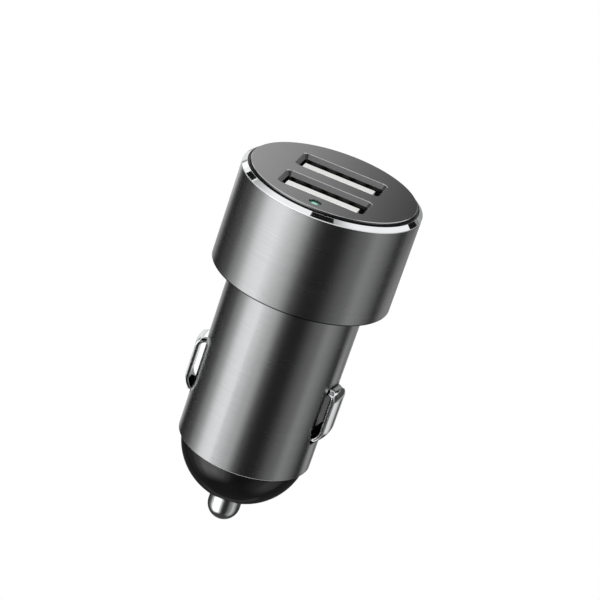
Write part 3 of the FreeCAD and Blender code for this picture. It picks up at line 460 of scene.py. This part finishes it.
def drawn_metal(name, dark, light, smooth, rough, painted_shade_from=None):
    """Drawn or rolled metal with fine lines and a soft unevenness, with painted shade above a height where
    one is given.
    """
    material, graph, shader = new_finish(name)
    # Painted shade for the inside of a socket, used above the given height
    painted_socket_shade = (0.06, 0.06, 0.061)
    lines = graph.effect(TURNED_LINES, Pitch=0.15 * MM)
    patches = graph.effect(SOFT_PATCHES, Size=2.5 * MM)["Tone"]
    body = graph.blend(patches, dark, light)
    if painted_shade_from is not None:
        unshaded = graph.effect(BELOW_HEIGHT, Height=painted_shade_from, Fade=SOCKET_SHADE_FADE)["Mask"]
        body = graph.blend(unshaded, painted_socket_shade, body)
    graph.feed(shader["Base Color"], body)
    graph.feed(shader["Roughness"], graph.between(lines["Tone"], smooth, rough))
    graph.feed(shader["Normal"], graph.relief(lines["Height"], distance=0.002 * MM, strength=0.3))
    shader["Metallic"].default_value = METALLIC
    return material


# Colour, roughness, size and depth of the grain, and how much paler its high spots are
PLASTICS = {
    "black_moulding": ((0.024, 0.024, 0.025), 0.46, 0.10 * MM, 0.01 * MM, 1.2),
    "pale_tongue": ((0.68, 0.68, 0.67), 0.42, 0.16 * MM, 0.02 * MM, 1.12),
    "lamp_chip": ((0.80, 0.79, 0.66), 0.40, 0.10 * MM, 0.01 * MM, 1.1),
    "ferrite_black": ((0.055, 0.055, 0.056), 0.55, 0.09 * MM, 0.02 * MM, 1.5),
    "chip_black": ((0.030, 0.030, 0.031), 0.50, 0.07 * MM, 0.01 * MM, 1.4),
    "ceramic_tan": ((0.50, 0.36, 0.22), 0.45, 0.08 * MM, 0.01 * MM, 1.15),
}

# Colour, roughness, pitch of the polishing lines, rounding of the edges, and below what height it is dull
PLATINGS = {
    "bright_trim": ((0.86, 0.87, 0.88), 0.03, 0.3 * MM, 0.04 * MM, TRIM_LAND_Z),
    "contact_chrome": ((0.87, 0.88, 0.89), 0.035, 0.2 * MM, 0.32 * MM),
}

# Colour and least roughness of the drawn metals, and how far their patches and lines change them
METAL_SHADE = 0.86
METAL_ROUGHENING = 0.1
METALS = {
    "gilt_terminals": ((0.85, 0.66, 0.32), 0.20),
    "spring_steel": ((0.60, 0.60, 0.61), 0.22),
    "contact_brass": ((0.78, 0.60, 0.30), 0.28),
    "capacitor_can": ((0.70, 0.71, 0.72), 0.30),
}

FINISHES = {
    "brushed_gunmetal": brushed_gunmetal(),
    "satin_face": satin_face(),
    "gloss_black": gloss_black(),
    "green_lens": green_lens(),
    "green_board": green_board(),
    "socket_steel": drawn_metal("socket_steel", (0.48, 0.485, 0.49), (0.55, 0.56, 0.58), 0.30, 0.42,
                                SOCKET_SHADE_Z),
    **{name: moulded_plastic(name, *look) for name, look in PLASTICS.items()},
    **{name: polished_plating(name, *look) for name, look in PLATINGS.items()},
    **{name: drawn_metal(name, shaded(colour, METAL_SHADE), colour, smooth, smooth + METAL_ROUGHENING)
       for name, (colour, smooth) in METALS.items()},
}


def dress_nodes():
    """Give every piece of the plug the finish that the record names for it."""
    for row in frame["record"]["subparts"]:
        node = frame["nodes"][row["node"]]
        node.data.materials.clear()
        node.data.materials.append(FINISHES[row["material_slot"]])


# Springs that give way inside


def spring_piece(name, node_name):
    """A copy of a spring's mesh that stands in for it, with the spring itself hidden."""
    node = frame["nodes"][node_name]
    piece = new_object(name, node.data.copy())
    piece.matrix_world = node.matrix_world
    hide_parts(node_name)
    return piece


def fit_springs():
    """Put a copy of the tip's coil on the housing with a mesh of its own, and copies of the two ground leaves
    fixed where they are.
    """
    bpy.context.view_layer.update()
    coil = spring_piece("tip_coil", "pin_spring")
    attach(coil, "housing")
    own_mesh(coil)
    for side in ("right", "left"):
        leaf = spring_piece(f"{side}_leaf", f"ground_spring_{side}")
        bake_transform(leaf)


# Studio


FLOOR_Z = -380 * MM
FLOOR_RADIUS = 420 * MM
FLOOR_FADE_RADIUS = FLOOR_RADIUS * 0.4
FLOOR_RINGS = 12
FLOOR_SIDES = 96
FLOOR_GREY = (0.88, 0.88, 0.88, 1)
FLOOR_GLOW = 0.22

# The strength of the white air for what is seen, and for the light that it gives
AIR_SEEN = 1.0
AIR_LIGHT = 0.55

# Soft square lamps: name, azimuth from the camera's side, height, side in metres and power in watts
LAMP_DISTANCE = 0.6
LAMPS = (
    ("key_lamp", -50, 50, 0.4, 1.3),
    ("fill_lamp", 0, 25, 0.12, 2.2),
)

# Where the cards stand: the bowl, a card just inside it and small cards a little nearer
BOWL_RADIUS = 350 * MM
CONTACT_CARD_RADIUS = BOWL_RADIUS - 5 * MM
SMALL_CARD_RADIUS = BOWL_RADIUS - 10 * MM
BOWL_TOP = 15

# What the barrel and the head mirror: (azimuth from the camera's side, brightness)
WALL_LEVELS = (
    (-180, 0.60), (-152, 0.40), (-134, 0.02), (-104, 0.12), (-86, 0.55), (-64, 1.66), (-42, 1.84),
    (-24, 1.22), (-12, 0.52), (-1, 0.10), (9, 0.03), (26, 0.03), (60, 0.26), (74, 0.50), (88, 0.38),
    (100, 0.22), (114, 0.02), (123, 0.05), (132, 0.34), (144, 0.48), (156, 0.34), (166, 0.35), (180, 0.60),
)

# How much of these levels the bowl has at a height. The rest is its dark floor.
WALL_FADE = ((-90, 0.0), (-72, 0.0), (-50, 1.0), (90, 1.0))
BOWL_FLOOR_LEVEL = 0.05

# What the two side contacts mirror, in a narrow band of the bowl: (azimuth, brightness)
CONTACT_LEVELS = (
    (118, 0.04), (126, 0.42), (131, 0.75), (138, 0.68), (144, 0.38), (149, 0.08), (153, 0.08), (158, 0.35),
    (164, 0.75), (180, 0.90), (214, 0.60),
)

# Cards graded from side to side: name, steps across, lowest and highest angle, steps up, radius, and stops of
# (azimuth, brightness) from one side to the other. The face plate mirrors the back card, and the trim's bevel
# the shades.
GRADED_CARDS = (
    ("back_card", 80, (BOWL_TOP, 42), 6, BOWL_RADIUS, ((140, 0.05), (173.5, 0.05), (187, 1.20), (220, 1.20))),
    ("front_flag", 20, (BOWL_TOP, 62), 10, BOWL_RADIUS, ((-45, 0.03), (60, 0.03))),
    ("contact_card", 80, (-31.5, -25), 4, CONTACT_CARD_RADIUS, CONTACT_LEVELS),
    ("left_shade", 20, (35, 58), 8, BOWL_RADIUS, ((-123, 0.50), (-96, 1.00))),
    ("front_shade", 20, (58, 84), 8, BOWL_RADIUS, ((38, 0.45), (84, 1.00))),
)

# Small plain cards that stand nearer: name, azimuth and height of the middle, width, height and brightness
SMALL_CARDS = (
    ("left_flag", -129.2, 32.4, 10, 13, 0.01),
    ("top_flag", 0, 77.5, 76, 12, 0.01),
    ("right_flag", 138.4, 22.1, 10, 12, 0.01),
    ("left_edge_flag", -6.5, -28.5, 7, 5, 0.02),
    ("right_edge_flag", -32, -28.5, 26, 6, 0.05),
    ("right_bend_flag", 136, -2, 20, 33, 0.07),
    ("right_trim_card", 154, 22, 20, 15, 0.25),
    ("recess_card", 0, 22, 30, 10, 0.50),
    ("low_flag", 167, -48, 124, 28, 0.05),
    ("left_bend_card", -156.5, -4, 17, 32, 0.85),
)


def direction(azimuth, height):
    """A unit vector. Azimuth runs from the camera's side to its right, height from the horizon up."""
    turn = math.radians(CAMERA_AZIMUTH + azimuth)
    rise = math.radians(height)
    return Vector((math.sin(turn) * math.cos(rise), -math.cos(turn) * math.cos(rise), math.sin(rise)))


def steps(low, high, count):
    """The places from low to high in equal steps."""
    return [low + (high - low) * step / count for step in range(count + 1)]


def eased(stops, at):
    """The level at a place between stops of (place, level), with soft turns."""
    for (low, level), (high, next_level) in zip(stops, stops[1:]):
        if low <= at <= high:
            share = (at - low) / (high - low)
            return level + (next_level - level) * share * share * (3 - 2 * share)
    return stops[-1][1]


def wall_level(azimuth, height):
    """The brightness of the bowl of cards round and below the plug."""
    share = eased(WALL_FADE, height)
    return BOWL_FLOOR_LEVEL + (eased(WALL_LEVELS, azimuth) - BOWL_FLOOR_LEVEL) * share


def card_finish():
    """Shines at the level that each corner of a card holds."""
    material = bpy.data.materials.new("studio_card")
    graph = empty_graph(material)
    shine = graph.add("ShaderNodeEmission")
    level = graph.add("ShaderNodeAttribute", attribute_name="level").outputs["Fac"]
    graph.feed(shine.inputs["Strength"], level)
    graph.show(shine)
    material.cycles.emission_sampling = "NONE"
    return material


CARD_FINISH = card_finish()


def studio_card(name, azimuths, heights, radius, level_at):
    """A curved card that only mirrored light meets. level_at gives its brightness at (azimuth, height)."""
    corners = [(azimuth, height) for height in heights for azimuth in azimuths]
    across = len(azimuths)
    faces = [
        (row * across + column, row * across + column + 1,
         (row + 1) * across + column + 1, (row + 1) * across + column)
        for row in range(len(heights) - 1) for column in range(across - 1)
    ]
    mesh = bpy.data.meshes.new(name)
    mesh.from_pydata([direction(*corner) * radius for corner in corners], [], faces)
    levels = mesh.attributes.new("level", "FLOAT", "POINT")
    levels.data.foreach_set("value", [level_at(*corner) for corner in corners])
    mesh.materials.append(CARD_FINISH)
    card = new_object(name, mesh)
    for ray in ("camera", "diffuse", "transmission", "volume_scatter", "shadow"):
        setattr(card, f"visible_{ray}", False)


def graded_card(name, across, heights, up, radius, stops):
    """A card that reaches from its first stop to its last and is graded between them."""
    studio_card(name, steps(stops[0][0], stops[-1][0], across), steps(*heights, up), radius,
                lambda azimuth, _height: eased(stops, azimuth))


def stand_cards():
    """Stand the bowl round and below the plug, and the other cards over its rim and in front of it."""
    studio_card("mirror_bowl", azimuths=steps(-180, 180, 180), heights=steps(-90, BOWL_TOP, 42),
                radius=BOWL_RADIUS, level_at=wall_level)
    for card in GRADED_CARDS:
        graded_card(*card)
    for name, azimuth, height, wide, tall, level in SMALL_CARDS:
        graded_card(name, across=8, heights=(height - tall / 2, height + tall / 2), up=4,
                    radius=SMALL_CARD_RADIUS,
                    stops=((azimuth - wide / 2, level), (azimuth + wide / 2, level)))


def light_world():
    """White for the camera, mirrors and clear parts, and plain light for everything else."""
    world = bpy.data.worlds.new("studio_air")
    bpy.context.scene.world = world
    graph = empty_graph(world)
    air = graph.add("ShaderNodeBackground")
    air.inputs["Color"].default_value = (1, 1, 1, 1)
    graph.feed(air.inputs["Strength"], graph.between(graph.seen(), AIR_LIGHT, AIR_SEEN))
    graph.show(air, "ShaderNodeOutputWorld")


def floor_finish():
    """Pale and matt, fading into the white air at the floor's edge."""
    material = bpy.data.materials.new("pale_floor")
    graph = empty_graph(material)
    matt = graph.add("ShaderNodeBsdfDiffuse")
    matt.inputs["Color"].default_value = FLOOR_GREY
    glow = graph.add("ShaderNodeEmission")
    graph.feed(glow.inputs["Strength"], graph.math("MULTIPLY", graph.seen(), FLOOR_GLOW))
    lit = graph.add("ShaderNodeAddShader", matt.outputs[0], glow.outputs[0])
    x, y, _ = graph.parts_of(graph.place())
    clear = graph.span(graph.radius(x, y), FLOOR_FADE_RADIUS, FLOOR_RADIUS, smooth=True)
    air = graph.add("ShaderNodeBsdfTransparent")
    graph.show(graph.add("ShaderNodeMixShader", clear, lit.outputs[0], air.outputs[0]))
    return material


def lay_floor():
    """A round pale floor well below the plug."""
    points = [
        (FLOOR_RADIUS * ring / FLOOR_RINGS * math.cos(math.tau * side / FLOOR_SIDES),
         FLOOR_RADIUS * ring / FLOOR_RINGS * math.sin(math.tau * side / FLOOR_SIDES), FLOOR_Z)
        for ring in range(1, FLOOR_RINGS + 1) for side in range(FLOOR_SIDES)
    ]
    faces = [
        (ring * FLOOR_SIDES + side, ring * FLOOR_SIDES + (side + 1) % FLOOR_SIDES,
         (ring + 1) * FLOOR_SIDES + (side + 1) % FLOOR_SIDES, (ring + 1) * FLOOR_SIDES + side)
        for ring in range(FLOOR_RINGS - 1) for side in range(FLOOR_SIDES)
    ]
    faces.append(tuple(range(FLOOR_SIDES)))
    mesh = bpy.data.meshes.new("floor")
    mesh.from_pydata(points, [], faces)
    mesh.materials.append(floor_finish())
    floor = new_object("floor", mesh)


def hang_lamp(name, azimuth, height, side, energy):
    """A square soft lamp aimed at the plug, seen only through the light that it gives."""
    light = bpy.data.lights.new(name, "AREA")
    light.shape = "SQUARE"
    light.size = side
    light.energy = energy
    lamp = new_object(name, light)
    lamp.location = direction(azimuth, height) * LAMP_DISTANCE
    lamp.rotation_euler = (-lamp.location).to_track_quat("-Z", "Y").to_euler()
    lamp.visible_camera = False
    lamp.visible_glossy = False


def light_studio():
    """Set up all that lights the plug or is mirrored in it."""
    light_world()
    lay_floor()
    stand_cards()
    for lamp in LAMPS:
        hang_lamp(*lamp)


def set_camera():
    """The photograph's viewpoint: a long lens, rolled, with the plug a little off the frame's centre."""
    camera = new_object("camera", bpy.data.cameras.new("camera"))
    back = direction(0, CAMERA_HEIGHT)
    turned = (-back).to_track_quat("-Z", "Y").to_matrix()
    for angle, axis in ((CAMERA_ROLL, "Z"), (CAMERA_PAN, "Y"), (CAMERA_TILT, "X")):
        turned = turned @ Matrix.Rotation(math.radians(angle), 3, axis)
    camera.matrix_world = Matrix.Translation(CAMERA_TARGET + back * CAMERA_DISTANCE) @ turned.to_4x4()
    camera.data.lens = LENS_MM
    camera.data.sensor_width = SENSOR_MM
    camera.data.clip_start = NEAREST_SEEN
    camera.data.clip_end = FARTHEST_SEEN
    bpy.context.scene.camera = camera


dress_nodes()
fit_springs()
light_studio()
set_camera()
bpy.context.scene.view_settings.view_transform = "Standard"
